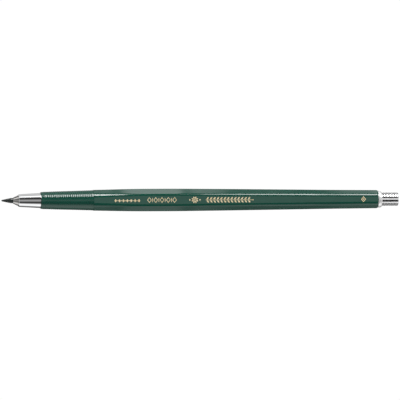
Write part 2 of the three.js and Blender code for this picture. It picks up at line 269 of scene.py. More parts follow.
def graphite_material():
    """Fired graphite core: dark silky body with drawn streaks, ground point with fine rings."""
    look = Look("graphite_core")
    black, grey, glint = (0.005, 0.0105, 0.0088), (0.014, 0.0215, 0.0190), (0.07, 0.075, 0.078)
    ground = look.span(look.split()[0], low=TIP + 3.4 * MM, high=TIP + 3.2 * MM)
    streak = look.grain(along=500, across=6000, detail=4, rough=0.6)
    rings = look.grain(along=9000, across=900, rough=0.6)
    fleck = look.grain(along=8000, across=8000, detail=2)
    base = look.mix(look.span(streak, low=0.3, high=0.7), black, grey)
    base = look.mix(look.times(look.span(fleck, low=0.60, high=0.72), 0.4), base, glint)
    rough = look.plus(look.span(streak, low=0.3, high=0.7, to=(0.26, 0.36)),
                      look.times(ground, 0.06))
    height = look.plus(look.times(rings, ground), look.times(streak, look.rest(ground)))
    return look.surface({"Base Color": base, "Metallic": 0.1, "IOR": 1.6, "Roughness": rough,
                         "Normal": look.bump(height, strength=0.45, distance=12e-6)})


def acetal_material():
    """Off-white plastic with a fine grain."""
    look = Look("acetal")
    light, dark, rough = (0.80, 0.79, 0.74), (0.72, 0.70, 0.63), 0.42
    cloud = look.grain(along=500, across=500, detail=4)
    grain = look.grain(along=6000, across=6000)
    return look.surface({
        "Base Color": look.mix(look.span(cloud, low=0.3, high=0.7), light, dark),
        "Roughness": look.span(cloud, low=0.3, high=0.7, to=(rough * 0.85, rough * 1.2)),
        "Normal": look.bump(grain, strength=0.3, distance=10e-6)})


def foil_material():
    """Hot-stamped gold foil with a broken, slightly rubbed surface."""
    look = Look("gold_foil")
    gold, pale, bare = (0.84, 0.66, 0.37), (0.95, 0.81, 0.55), (0.20, 0.22, 0.12)
    worn = look.grain(along=4500, across=4500, detail=4, rough=0.65)
    tone = look.grain(along=700, across=1500, detail=2)
    base = look.mix(look.span(tone, low=0.3, high=0.7), gold, pale)
    base = look.mix(look.times(look.span(worn, low=0.58, high=0.68), 0.7), base, bare)
    return look.surface({
        "Base Color": base, "Metallic": 0.45,
        "Roughness": look.span(worn, low=0.3, high=0.7, to=(0.26, 0.42)),
        "Normal": look.bump(worn, strength=0.3, distance=10e-6)})


GREEN = barrel_material()
CHROME = metal_material("chrome_plate", colour=(0.90, 0.905, 0.91), dark=(0.76, 0.77, 0.78),
                        rough=0.035, turning=0.03, wear=0.35)
# the button's studs get painted shade, near black, in the bottoms of their grooves
STUDDED = metal_material("chrome_studs", colour=(0.94, 0.94, 0.945), dark=(0.80, 0.80, 0.81),
                         rough=0.18, turning=0.2, wear=0.3, painted_groove_shade=True, metal=0.6)
SATIN = metal_material("chrome_satin", colour=(0.94, 0.94, 0.94), dark=(0.80, 0.80, 0.81),
                       rough=0.30, turning=0.25, wear=0.2, metal=0.6)
JAW = metal_material("jaw_nickel", colour=(0.64, 0.63, 0.61), dark=(0.42, 0.41, 0.40),
                     rough=0.16, turning=0.45, wear=0.5, frequency=11000)
BRASS = metal_material("turned_brass", colour=(0.76, 0.57, 0.26), dark=(0.50, 0.35, 0.14),
                       rough=0.24, turning=0.5, wear=0.5, frequency=9000, spots=0.3)
TUBE = metal_material("tube_drawn", colour=(0.60, 0.62, 0.63), dark=(0.42, 0.43, 0.44),
                      rough=0.26, turning=0.3, wear=0.5, frequency=5000)
SPRING = metal_material("spring_wire", colour=(0.50, 0.52, 0.53), dark=(0.30, 0.31, 0.33),
                        rough=0.26, turning=0.3, wear=0.6, frequency=5000)
DARK = metal_material("oxide_steel", colour=(0.16, 0.17, 0.18), dark=(0.07, 0.075, 0.085),
                      rough=0.34, turning=0.4, wear=0.8, frequency=7000, spots=0.4)
ACETAL = acetal_material()
GRAPHITE = graphite_material()
FOIL = foil_material()

# --------------------------------------------------------------------- geometry
CORNER_STEPS = 4                     # divisions of a rounded outline corner


def build(name, shape, *, body, slot, material, node=None, sharp=42.0, attributes=None):
    """Piece from (points, faces), the points being (along, y, z). It rides on a body and
    may stand for a CAD node; edges over the sharp angle stay crisp."""
    points, faces = shape
    points = np.asarray(points, float) * MM + (TIP, 0.0, 0.0)
    mesh = bpy.data.meshes.new(name)
    mesh.from_pydata(points.tolist(), [], [tuple(int(i) for i in face) for face in faces])
    for key, values in (attributes or {}).items():
        layer = mesh.attributes.new(key, "FLOAT", "POINT")
        layer.data.foreach_set("value", np.asarray(values, np.float32))
    editable = bmesh.new()
    editable.from_mesh(mesh)
    bmesh.ops.recalc_face_normals(editable, faces=editable.faces)
    editable.to_mesh(mesh)
    editable.free()
    mesh.shade_smooth()
    mesh.set_sharp_from_angle(angle=math.radians(sharp))
    piece = bpy.data.objects.new(name, mesh)
    scene.collection.objects.link(piece)
    mesh.materials.append(material)
    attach(piece, body)
    if node:
        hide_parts(node)
    return piece


def rounded(outline, radius=0.05, corners=None):
    """Closed outline with its corners turned into small arcs. Corners gives the radius of
    single ones by their index."""
    out = []
    for i, point in enumerate(outline):
        wanted = (corners or {}).get(i, radius)
        corner = np.array(point, float)
        if wanted <= 0:
            out.append(tuple(corner))
            continue
        before = np.array(outline[i - 1], float) - corner
        after = np.array(outline[(i + 1) % len(outline)], float) - corner
        length_before, length_after = np.linalg.norm(before), np.linalg.norm(after)
        before, after = before / length_before, after / length_after
        angle = math.acos(max(-1.0, min(1.0, float(before @ after))))
        if angle > math.radians(174):                  # as good as straight
            out.append(tuple(corner))
            continue
        setback = min(wanted / math.tan(angle / 2), 0.45 * length_before, 0.45 * length_after)
        arc = setback * math.tan(angle / 2)
        middle = (before + after) / np.linalg.norm(before + after)
        centre = corner + middle * arc / math.sin(angle / 2)
        start = corner + before * setback - centre
        end = corner + after * setback - centre
        first = math.atan2(start[1], start[0])
        turn = (math.atan2(end[1], end[0]) - first + math.pi) % (2 * math.pi) - math.pi
        for k in range(CORNER_STEPS + 1):
            way = first + turn * k / CORNER_STEPS
            out.append((centre[0] + arc * math.cos(way), centre[1] + arc * math.sin(way)))
    return out


def divided(outline, longest=1.0, guard=0.04):
    """Points added along long straights, and close to their ends, so smooth shading stays
    flat there."""
    out = []
    for i, point in enumerate(outline):
        start, end = np.array(point, float), np.array(outline[(i + 1) % len(outline)], float)
        length = np.linalg.norm(end - start)
        out.append(tuple(start))
        if length < 4 * guard:
            continue
        inner = length - 2 * guard
        parts = max(1, int(math.ceil(inner / longest)))
        stops = [guard / length]
        stops += [(guard + inner * j / parts) / length for j in range(1, parts)]
        stops.append(1 - guard / length)
        out += [tuple(start + (end - start) * stop) for stop in stops]
    return out


def notches(starts, width, floor, high, low):
    """Outline points of notches with sloping sides; floor is where the bottom begins and
    ends, measured from the notch's start."""
    return [point for start in starts for point in (
        (start, high), (start + floor[0], low), (start + floor[1], low), (start + width, high))]


def skin(rows, width, close_rows=False, close_width=True, start=0):
    """Quads over rows of points, numbered from start."""
    faces = []
    for i in range(rows if close_rows else rows - 1):
        here, there = start + i * width, start + (i + 1) % rows * width
        for j in range(width if close_width else width - 1):
            k = (j + 1) % width
            faces.append((here + j, there + j, there + k, here + k))
    return faces


def circles(outline, around):
    """Points of an (along, radius) outline turned fully round the axis."""
    return [(along, *polar(radius, 360.0 * j / around))
            for along, radius in outline for j in range(around)]


def lathe(outline, around):
    """Closed outline, off the axis, turned fully round."""
    return circles(outline, around), skin(len(outline), around, close_rows=True)


def spun(profile, around):
    """Open profile whose two ends lie on the axis, turned fully round."""
    rows = profile[1:-1]
    points = [(profile[0][0], 0.0, 0.0), *circles(rows, around), (profile[-1][0], 0.0, 0.0)]
    last = len(points) - 1
    last_row = 1 + (len(rows) - 1) * around
    faces = []
    for j in range(around):
        k = (j + 1) % around
        faces += [(0, 1 + j, 1 + k), (last, last_row + k, last_row + j)]
    return points, faces + skin(len(rows), around, start=1)


def sector(outline, centre, reach, steps):
    """Closed outline turned through reach(radius) degrees to each side of the centre angle,
    its two ends capped."""
    points, width = [], steps + 1
    for along, radius in outline:
        first, last = centre - reach(radius), centre + reach(radius)
        for j in range(width):
            points.append((along, *polar(radius, first + (last - first) * j / steps)))
    faces = skin(len(outline), width, close_rows=True, close_width=False)
    faces.append(tuple(i * width for i in range(len(outline))))
    faces.append(tuple(i * width + steps for i in reversed(range(len(outline)))))
    return points, faces


def turned(name, outline, around=96, radius=0.05, corners=None, longest=1.0, **piece):
    profile = divided(rounded(outline, radius, corners), longest)
    build(name, lathe(profile, around), **piece)


# ----------------------------------------------------------------------- barrel
# Grip: (along, radius)
GRIP = [(16.0, 3.315), (21.2, 3.50), (28.1, 3.68), (33.9, 3.85), (34.97, 3.875)]
GROOVE_START, GROOVE_PITCH, GROOVE_DEPTH, GROOVES = 16.6, 0.8, 0.055, 22
# Hexagon: (along, apothem, radius of the rounded edges)
HEX = [
    (35.03, 3.695, 2.1), (38.6, 3.735, 1.98), (42.4, 3.775, 1.76), (46.6, 3.825, 1.5),
    (51.2, 3.852, 1.28), (56.0, 3.865, 1.2), (66.0, 3.865, 1.2), (73.2, 3.822, 1.28),
    (85.9, 3.738, 1.42), (98.6, 3.62, 1.52), (114.8, 3.468, 1.62), (126.4, 3.35, 1.7),
    (137.9, 3.265, 1.75), (143.95, 3.224, 1.76), (144.6, 3.22, 1.76),
]
APOTHEM_EXTRA = 0.025                # added to every apothem of the table
SMOOTH_STEP, SMOOTH_HALF = 0.25, 14  # sample spacing, and samples averaged to each side
R_REAR_EDGE, REAR_ROUND = 3.08, 0.40
ARC, FLAT = 14, 8                    # divisions of a rounded edge and of a flat
RING = 6 * (ARC + FLAT)


def curve(table, column, along):
    """Smooth interpolation of a table column (monotone cubic)."""
    stations = np.array([row[0] for row in table], float)
    values = np.array([row[column] for row in table], float)
    gaps = np.diff(stations)
    slopes = np.diff(values) / gaps
    tangents = np.zeros_like(values)
    tangents[0], tangents[-1] = slopes[0], slopes[-1]
    for i in range(1, len(stations) - 1):
        if slopes[i - 1] * slopes[i] > 0:
            before, after = 2 * gaps[i] + gaps[i - 1], gaps[i] + 2 * gaps[i - 1]
            tangents[i] = (before + after) / (before / slopes[i - 1] + after / slopes[i])
    along = np.clip(along, stations[0], stations[-1])
    i = np.clip(np.searchsorted(stations, along, side="right") - 1, 0, len(stations) - 2)
    way = (along - stations[i]) / gaps[i]
    return ((2 * way**3 - 3 * way**2 + 1) * values[i]
            + (way**3 - 2 * way**2 + way) * gaps[i] * tangents[i]
            + (-2 * way**3 + 3 * way**2) * values[i + 1]
            + (way**3 - way**2) * gaps[i] * tangents[i + 1])


SAMPLES = np.arange(HEX_START, BARREL_END + SMOOTH_STEP, SMOOTH_STEP)


def smoothed(column):
    """A HEX column at the samples, averaged with its neighbours."""
    raw = curve(HEX, column, SAMPLES)
    padded = np.concatenate([2 * raw[0] - raw[SMOOTH_HALF:0:-1], raw,
                             2 * raw[-1] - raw[-2:-SMOOTH_HALF - 2:-1]])
    weights = np.hanning(2 * SMOOTH_HALF + 3)[1:-1]
    return np.convolve(padded, weights / weights.sum(), "valid")


APOTHEMS, EDGE_RADII = smoothed(1) + APOTHEM_EXTRA, smoothed(2)


def apothem_at(along):
    return float(np.interp(along, SAMPLES, APOTHEMS))


def hex_outline(apothem, edge_radius, limit=1e9, scale=1.0):
    """(y, z) points of a hexagon with rounded edges, scaled, and kept inside a radius."""
    centre = (apothem - edge_radius) / math.cos(math.radians(30))
    points = []
    for k in range(6):
        angle = 30 + 60 * k
        centre_y, centre_z = polar(centre, angle)
        next_y, next_z = polar(centre, angle + 60)
        for j in range(ARC):
            y, z = polar(edge_radius, angle - 30 + 60.0 * j / ARC)
            points.append((centre_y + y, centre_z + z))
        y, z = polar(edge_radius, angle + 30)
        for j in range(FLAT):
            share = j / FLAT
            points.append((centre_y + y + (next_y - centre_y) * share,
                           centre_z + z + (next_z - centre_z) * share))
    factors = [min(scale, limit / math.hypot(y, z)) for y, z in points]
    return [(y * factor, z * factor) for (y, z), factor in zip(points, factors)]


def hex_ring(along, **limits):
    edge_radius = float(np.interp(along, SAMPLES, EDGE_RADII))
    return hex_outline(apothem_at(along), edge_radius, **limits)


# round rings take their point angles from the front of the hexagon
RING_ANGLES = [math.degrees(math.atan2(y, z)) for y, z in hex_outline(*HEX[0][1:])]
# how near each ring point is to the middle of a rounded edge
EDGE_SHARES = ([1.0 - abs(j - ARC / 2) / (ARC / 2) for j in range(ARC)] + [0.0] * FLAT) * 6


def round_rings(stations):
    """Rings, as (along, points, edge weight), from (along, radius) pairs."""
    return [(along, [polar(radius, angle) for angle in RING_ANGLES], 0.0)
            for along, radius in stations]


def grip_radius(along):
    radius = curve(GRIP, 1, along)
    if GROOVE_START <= along <= GROOVE_START + GROOVES * GROOVE_PITCH:
        wave = 0.5 - 0.5 * math.cos(2 * math.pi * (along - GROOVE_START) / GROOVE_PITCH)
        radius -= GROOVE_DEPTH * wave ** 1.5
    return radius


def barrel_rings():
    """Rings over the outside from the mouth to the rear, and back through the bores."""
    # mouth lip: only the rounded part of the outline, then the grip
    lip = rounded([(MOUTH, R_BUSH_SEAT), (MOUTH, 3.14), (14.97, 3.225), (16.0, 3.275),
                   (16.0, R_BUSH_SEAT)], 0.0, {1: 0.08, 2: 0.10})
    rings = round_rings(lip[1:-2])
    rings += round_rings((along, grip_radius(along)) for along in np.arange(16.0, 34.86, 0.08))
    # step from the round grip to the hexagon
    rings += round_rings([(34.90, 3.868), (34.945, 3.862), (34.965, 3.845), (34.975, 3.80)])
    rings.append((34.985, hex_ring(HEX_START, scale=0.985), 0.0))
    rings.append((35.005, hex_ring(HEX_START, scale=0.994), 0.6))
    for along in (35.05, *np.arange(35.12, 143.8, 0.5)):
        rings.append((along, hex_ring(along), 1.0))
    # rear end turned down to a rounded edge
    for k in range(13):
        share = k / 12
        along = 143.88 + 0.72 * math.sin(share * math.pi / 2)
        limit = R_REAR_EDGE + REAR_ROUND * math.cos(share * math.pi / 2)
        rings.append((along, hex_ring(along, limit=limit), 1.0 - share))
    rings += round_rings([(BARREL_END, 3.05), (BARREL_END, 2.93), (BARREL_END, 2.885)])
    # bores, from the rear to the mouth
    rings += round_rings([(along, R_FERRULE_SEAT) for along in (144.56, 143.0, 141.0, 138.4)])
    rings += round_rings([(138.3, 2.87), (138.3, 2.5), (138.25, R_MAIN_BORE)])
    rings += round_rings((along, R_MAIN_BORE) for along in np.arange(136.0, 44.0, -4.0))
    rings += round_rings([(43.0, R_MAIN_BORE), (42.8, 2.46), (42.6, 2.61)])
    rings += round_rings([(along, R_SPRING_ROOM) for along in (42.4, 36.0, 30.0, 24.3)])
    rings += round_rings([(24.2, 2.63), (24.2, 2.75)])
    rings += round_rings([(along, R_BUSH_SEAT) for along in (24.1, 20.0, 16.0, 14.9)])
    return rings + round_rings([(14.82, 2.775)])


rings = barrel_rings()
build("barrel_shell",
      ([(along, y, z) for along, points, _ in rings for y, z in points],
       skin(len(rings), RING, close_rows=True)),
      body="barrel", node="barrel", slot="barrel_plastic", material=GREEN, sharp=50.0,
      attributes={"edge": [edge * share for _, _, edge in rings for share in EDGE_SHARES]})

# ------------------------------------------------------- stamped foil ornament
# Border ornament on the flat that faces +Z: lozenges, leaves and a rosette. Each stamp is
# a set of thin closed plates that follow the bulged flat. Outlines are (along, y).
FOIL_TOP, FOIL_BOTTOM = 0.012, -0.03  # heights from the flat


def on_flat(outline, height):
    return [(along, y, apothem_at(along) + height) for along, y in outline]


def plate(outline):
    count = len(outline)
    faces = [tuple(range(count)), tuple(reversed(range(count, 2 * count)))]
    for i in range(count):
        k = (i + 1) % count
        faces.append((i, k, count + k, count + i))
    return on_flat(outline, FOIL_TOP) + on_flat(outline, FOIL_BOTTOM), faces


def frame_plate(outer, inner):
    """Plate between two outlines of equal count."""
    count = len(outer)
    points = on_flat(outer + inner, FOIL_TOP) + on_flat(outer + inner, FOIL_BOTTOM)
    faces = []
    for i in range(count):
        k = (i + 1) % count
        faces += [
            (i, k, count + k, count + i),                                   # top
            (2 * count + i, 3 * count + i, 3 * count + k, 2 * count + k),   # bottom
            (i, 2 * count + i, 2 * count + k, k),                           # outer wall
            (count + i, count + k, 3 * count + k, 3 * count + i),           # inner wall
        ]
    return points, faces


def lozenge(along, y, half_length, half_width):
    return [(along - half_length, y), (along, y - half_width),
            (along + half_length, y), (along, y + half_width)]


def oval(along, y, half_length, half_width, count):
    turns = [2 * math.pi * i / count for i in range(count)]
    return [(along + half_length * math.cos(turn), y + half_width * math.sin(turn))
            for turn in turns]


def leaf(along, y, length, width, direction):
    """Pointed leaf from (along, y) towards an angle in the (along, y) plane."""
    cos, sin = math.cos(math.radians(direction)), math.sin(math.radians(direction))
    sides = [(i / 8, 0.5) for i in range(9)] + [(i / 8, -0.5) for i in range(7, 0, -1)]
    out = []
    for share, side in sides:
        ahead = share * length
        aside = side * width * math.sin(math.pi * share) ** 0.8
        out.append((along + ahead * cos - aside * sin, y + ahead * sin + aside * cos))
    return out


def stamp(name, plates):
    points, faces = [], []
    for plate_points, plate_faces in plates:
        base = len(points)
        points += plate_points
        faces += [tuple(base + i for i in face) for face in plate_faces]
    build(name, (points, faces), body="barrel", slot="brass", material=FOIL, sharp=30.0)


def bead_line(start=43.3, pitch=1.5, count=7, y=-0.22):
    """Solid lozenges with small ovals between them."""
    plates = []
    for i in range(count):
        along = start + i * pitch
        plates.append(plate(lozenge(along, y, 0.50, 0.62)))
        if i < count - 1:
            plates.append(plate(oval(along + pitch / 2, y, 0.15, 0.2, count=12)))
    return plates


def lozenge_chain(start=56.3, pitch=2.42, count=5, bar=(1.10, 1.32), half_bar=0.75):
    """Framed lozenges with short bars between them."""
    plates = []
    for i in range(count):
        along = start + i * pitch
        plates.append(frame_plate(lozenge(along, 0.0, 0.86, 1.12), lozenge(along, 0.0, 0.60, 0.78)))
        if i < count - 1:
            near, far = along + bar[0], along + bar[1]
            plates.append(plate([(near, -half_bar), (far, -half_bar),
                                 (far, half_bar), (near, half_bar)]))
    return plates


def rosette(centre=73.8, eye=0.27, petal_start=0.40):
    """Eight petals round an eye, with a lozenge to each side."""
    plates = [plate(oval(centre, 0.0, eye, eye, count=16))]
    for i in range(8):
        angle = 22.5 + 45 * i
        along = centre + petal_start * math.cos(math.radians(angle))
        y = petal_start * math.sin(math.radians(angle))
        plates.append(plate(leaf(along, y, length=0.95, width=0.50, direction=angle)))
    for side in (-1, 1):
        plates.append(plate(lozenge(centre + side * 1.95, 0.0, 0.36, 0.36)))
    return plates


def sprig(start=78.3, pitch=1.33, leaf_width=0.56, slant=47):
    """Thirteen pairs of leaves on a stem that ends in a bud."""
    plates = [plate([(78.0, -0.13), (95.7, -0.13), (95.9, -0.05), (95.7, 0.03), (78.0, 0.03)])]
    for i in range(13):
        along = start + i * pitch
        plates.append(plate(leaf(along, 0.10, 1.25, leaf_width, slant)))
        plates.append(plate(leaf(along + 0.1, -0.20, 1.20, leaf_width, -slant)))
    return plates + [plate(oval(96.15, -0.05, 0.22, 0.22, count=14))]


def rear_mark(centre=138.8):
    """Single framed lozenge with a solid one inside."""
    return [frame_plate(lozenge(centre, 0.0, 0.95, 1.12), lozenge(centre, 0.0, 0.60, 0.72)),
            plate(lozenge(centre, 0.0, 0.28, 0.34))]


stamp("foil_beads", bead_line())
stamp("foil_chain", lozenge_chain())
stamp("foil_rosette", rosette())
stamp("foil_sprig", sprig())
stamp("foil_mark", rear_mark())

# ------------------------------------------------------------------------- nose
# Outlines of turned pieces are (along, radius).
turned("nose_sleeve_shell", [
    (6.2, 2.10), (6.2, 2.2), (6.42, 2.36), (7.0, 2.46), (14.74, 2.88), (14.74, 2.31),
    # screw tenon
    *notches([14.98 + i * 0.5 for i in range(15)], 0.38, floor=(0.16, 0.22), high=2.30, low=2.22),
    (23.9, 2.30), (23.9, 1.98), (9.75, 1.98), (9.2, 1.645),
], around=128, radius=0.03, corners={0: 0.06, 1: 0.10, 2: 0.30, 3: 0.9, 4: 0.07}, longest=0.8,
    body="barrel", node="nose_sleeve", slot="chrome", material=CHROME)

turned("front_bush_insert", [
    (15.1, 2.35), (15.1, 2.72),
    # retaining grooves held by the moulded plastic
    *notches([16.6 + i * 1.9 for i in range(4)], 0.8, floor=(0.15, 0.65), high=2.72, low=2.60),
    (24.1, 2.72), (24.1, 2.35),
], radius=0.03, body="barrel", node="front_bush", slot="brass", material=BRASS)

turned("front_washer_ring", [(24.2, 1.87), (24.2, 2.56), (24.6, 2.56), (24.6, 1.87)],
       radius=0.06, longest=0.5,
       body="barrel", node="front_washer", slot="dark_steel", material=DARK)

# ----------------------------------------------------------------------- clutch
JAWS, FIRST_JAW_ANGLE, SAW_CUT = 3, -8.0, 0.36
JAW_OUTLINE = [
    (4.2, 1.02), (4.2, 1.15), (6.0, 2.005), (6.25, 2.052), (9.2, 1.56), (9.6, 1.4),
    (18.5, 1.4), (18.5, 1.1), (9.0, 1.1), (8.8, 1.02),
]


def jaw_reach(radius):
    """Half the angle of a jaw, less half the saw cut."""
    return 180.0 / JAWS - math.degrees(math.asin(SAW_CUT / 2 / radius))


jaw_profile = divided(rounded(JAW_OUTLINE, 0.03, {1: 0.06, 2: 0.10, 3: 0.10}), 0.7, guard=0.03)
for i in range(JAWS):
    jaw = f"jaw_{i + 1}"
    build(f"{jaw}_leg", sector(jaw_profile, FIRST_JAW_ANGLE + 360.0 / JAWS * i, jaw_reach, 36),
          body=jaw, node=jaw, slot="jaw_steel", material=JAW, sharp=38.0)

turned("collet_tail", [(18.58, 1.105), (18.58, 1.4), (21.8, 1.4), (22.1, 1.5), (26.0, 1.5),
                       (26.0, 1.105)], around=72, radius=0.04, longest=0.8,
       body="clutch", node="collet_body", slot="jaw_steel", material=JAW)

turned("tube_coupler_sleeve", [
    (22.6, 1.53), (22.6, 1.66), (22.8, 1.735),
    *notches((24.0, 27.6), 0.7, floor=(0.25, 0.45), high=1.735, low=1.665),  # crimped waists
    (29.4, 1.735), (29.6, 1.66), (29.6, 1.53),
], around=72, radius=0.04, longest=0.8,
    body="clutch", node="tube_coupler", slot="brass", material=BRASS)

turned("lead_tube_drawn", [(26.1, 1.14), (26.1, 1.5), (141.0, 1.5), (141.0, 1.14)],
       around=64, longest=2.5,
       body="clutch", node="lead_tube", slot="tube_steel", material=TUBE)

turned("spring_collar_seat", [(39.5, 1.55), (39.5, 1.88), (40.8, 1.88), (40.8, 2.42),
                              (41.9, 2.42), (41.9, 1.55)], longest=0.5,
       body="spring_seat", node="spring_collar", slot="brass", material=BRASS)

SNAP_OUTLINE = [(41.98, 1.54), (41.98, 2.1), (42.48, 2.1), (42.48, 1.54)]
snap_profile = divided(rounded(SNAP_OUTLINE, 0.06), 0.3, guard=0.02)
# open by 48 degrees round +Z
build("retaining_snap_ring", sector(snap_profile, 180.0, lambda radius: 156.0, 72),
      body="clutch", node="retaining_ring", slot="dark_steel", material=DARK)

# return spring: one closed turn at each end
WIRE, COIL, COILS = 0.2, 2.16, 9     # wire radius, coil radius, turns
SPRING_START, SPRING_END = 24.72, 40.72
CLOSED_PITCH = 2.15 * WIRE
COIL_START, COIL_END = SPRING_START + WIRE, SPRING_END - WIRE
OPEN_PITCH = (COIL_END - COIL_START - 2 * CLOSED_PITCH) / (COILS - 2)
STEPS, SIDES = COILS * 44, 14        # divisions of the wire's length and of its girth


def helix(turn):
    if turn < 1:
        along = COIL_START + CLOSED_PITCH * turn
    elif turn > COILS - 1:
        along = COIL_END - CLOSED_PITCH * (COILS - turn)
    else:
        along = COIL_START + CLOSED_PITCH + OPEN_PITCH * (turn - 1)
    return Vector((along, *polar(COIL, 360.0 * turn)))


def coil():
    points = []
    for i in range(STEPS + 1):
        turn = COILS * i / STEPS
        centre = helix(turn)
        heading = (helix(min(COILS, turn + 0.004)) - helix(max(0.0, turn - 0.004))).normalized()
        out = Vector((0.0, centre.y, centre.z)).normalized()
        side = heading.cross(out).normalized()
        for j in range(SIDES):
            angle = 2 * math.pi * j / SIDES
            points.append(tuple(centre + out * (WIRE * math.cos(angle))
                                + side * (WIRE * math.sin(angle))))
    faces = skin(STEPS + 1, SIDES)
    faces.append(tuple(range(SIDES)))
    faces.append(tuple(STEPS * SIDES + j for j in reversed(range(SIDES))))
    return points, faces


spring = build("return_spring_coil", coil(), body="barrel", node="return_spring",
               slot="spring_steel", material=SPRING, sharp=60.0)
TRAVEL = max(next(j for j in frame["joints"] if j["name"] == "button_press")["range_m"])
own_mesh(spring)

# ------------------------------------------------------------------------- rear
turned("rear_guide_bush", [(130.0, 1.58), (130.0, 2.42), (133.5, 2.42), (133.5, 1.58)],
       radius=0.10, longest=0.6,
       body="barrel", node="rear_bush", slot="bush_plastic", material=ACETAL)

turned("rear_ferrule_ring", [
    (138.5, 2.67), (138.5, 2.85), (144.62, 2.85), (144.66, 3.2), (145.2, 3.2), (145.7, 3.1),
    (146.0, 2.95), (146.1, 2.86), (146.1, 2.67),
], around=128, corners={3: 0.12, 4: 0.5, 5: 0.5, 6: 0.3, 7: 0.08}, longest=0.6,
    body="barrel", node="rear_ferrule", slot="chrome", material=SATIN)

turned("button_core_stem", [(138.0, 1.53), (138.0, 1.77), (151.4, 1.77), (151.4, 1.2),
                            (141.1, 1.2), (141.1, 1.53)], around=72,
       body="clutch", node="button_core", slot="brass", material=BRASS)

# push button: studs between lengthwise and ring grooves
STUD_ROWS, STUD_TEETH, STUD_PHASE = 6, 11, 18.0
ROW_STEPS, TOOTH_STEPS = 16, 22      # divisions of a stud along the axis and round it
STUDS_START, STUDS_END = 145.4, 151.95
R_BUTTON, END_ROUND, STUD_DEPTH = 2.55, 0.30, 0.15
BUTTON_BORE_END, R_BUTTON_BORE, R_BUTTON_SKIRT = 151.6, 1.8, 2.4
ROW_SLOPE, TOOTH_SLOPE, SHADE_REACH = 0.24, 0.34, 0.50   # distances from a groove's middle; the last is how far the painted groove shade reaches
# End face with a shallow ring groove: (radius, depth below the face)
END_FACE = [
    (2.18, 0.0), (1.72, 0.0), (1.69, 0.01), (1.66, 0.05), (1.62, 0.06), (1.56, 0.06),
    (1.52, 0.05), (1.49, 0.01), (1.46, 0.0), (1.0, 0.0), (0.6, 0.0), (0.22, 0.0),
]


def stud(distance, half):
    """Height share at a distance from the nearest groove's middle."""
    share = min(1.0, max(0.0, distance / half))
    return share * (2 - share)


def push_button():
    """Shape of the button, and how deep in a groove each of its points lies, which sets the painted
    shade in the grooves.
    """
    around = STUD_TEETH * TOOTH_STEPS
    points, depths = [], []

    def ring(along, radius, relief=0.0, row_height=1.0):
        """Ring with lengthwise grooves of a relief between 0 and 1."""
        for j in range(around):
            teeth = j / TOOTH_STEPS
            gap = abs(teeth - round(teeth)) * (2 * math.pi * R_BUTTON / STUD_TEETH)
            height = min(row_height, stud(gap, TOOTH_SLOPE))
            angle = STUD_PHASE + 360.0 * j / around
            points.append((along, *polar(radius - STUD_DEPTH * (1 - height) * relief, angle)))
            # this depth drives the painted shade, near black, in the grooves
            depths.append(max(1 - stud(gap, SHADE_REACH), 0.10 * (1 - row_height)) * relief)

    # bore and skirt, up to the last point before the studs
    profile = divided(rounded([
        (BUTTON_BORE_END, R_BUTTON_BORE), (137.4, R_BUTTON_BORE), (137.4, R_BUTTON_SKIRT),
        (145.22, R_BUTTON_SKIRT), (STUDS_START, 2.42),
    ], 0.06, {0: 0.0, 3: 0.05, 4: 0.0}), 1.2)
    cut = next(i for i, (along, radius) in enumerate(profile) if along > 145.1 and radius > 2.3)
    for along, radius in profile[:cut + 1]:
        ring(along, radius)
    # studs, with ring grooves between the rows only
    row_pitch = (STUDS_END - STUDS_START) / STUD_ROWS
    steps = STUD_ROWS * ROW_STEPS
    for i in range(steps + 1):
        along = STUDS_START + (STUDS_END - STUDS_START) * i / steps
        row = (along - STUDS_START) / row_pitch
        between = 0 < round(row) < STUD_ROWS
        height = stud(abs(row - round(row)) * row_pitch, ROW_SLOPE) if between else 1.0
        ring(along, R_BUTTON, relief=1.0, row_height=height)
    # rounded end, where the grooves run out
    for k in range(1, 8):
        share = k / 7
        ring(STUDS_END + (BUTTON_END - STUDS_END) * math.sin(share * math.pi / 2),
             R_BUTTON - END_ROUND + END_ROUND * math.cos(share * math.pi / 2),
             relief=1 - share)
    for radius, sunk in END_FACE:
        ring(BUTTON_END - sunk, radius)

    rows = len(points) // around
    last_row, centre = (rows - 1) * around, len(points)
    points.extend([(BUTTON_END, 0.0, 0.0), (BUTTON_BORE_END, 0.0, 0.0)])
    depths.extend([0.0, 0.0])
    # the quads are wound the other way round, to agree with the two fans
    faces = [(a, d, c, b) for a, b, c, d in skin(rows, around)]
    faces += [(last_row + j, centre, last_row + (j + 1) % around) for j in range(around)]
    faces += [(j, (j + 1) % around, centre + 1) for j in range(around)]
    return (points, faces), depths


button_shape, groove_depths = push_button()
build("push_button_cap", button_shape, body="clutch", node="push_button", slot="chrome",
      material=STUDDED, sharp=50.0, attributes={"groove": groove_depths})


# ------------------------------------------------------------------------- lead
def lead_profile():
    """Blunt point, faintly waved ground cone, and plain body."""
    cone_start, cone_end, r_start, r_gain, steps = -0.06, 3.3, 0.29, 0.71, 32
    profile = [(-0.26, 0.0), (-0.252, 0.08), (-0.225, 0.15), (-0.17, 0.22), (cone_start, r_start)]
    for i in range(1, steps + 1):
        along = cone_start + (cone_end - cone_start) * i / steps
        wave = 0.006 * math.sin(5.1 * along) * math.sin(math.pi * i / steps)
        profile.append((along, r_start + r_gain * i / steps + wave))
    profile += [(along, R_LEAD) for along in (3.4, 3.7, 4.4, *np.arange(6.0, 129.0, 3.0), 129.8)]
    return profile + [(129.95, 0.98), (130.0, 0.9), (130.0, 0.0)]


build("lead_core", spun(lead_profile(), 64), body="lead", node="lead", slot="graphite",
      material=GRAPHITE, sharp=60.0)

# ------------------------------------------------------------------------ floor
PALE = 1.02                          # brightness of the floor and of the plain background


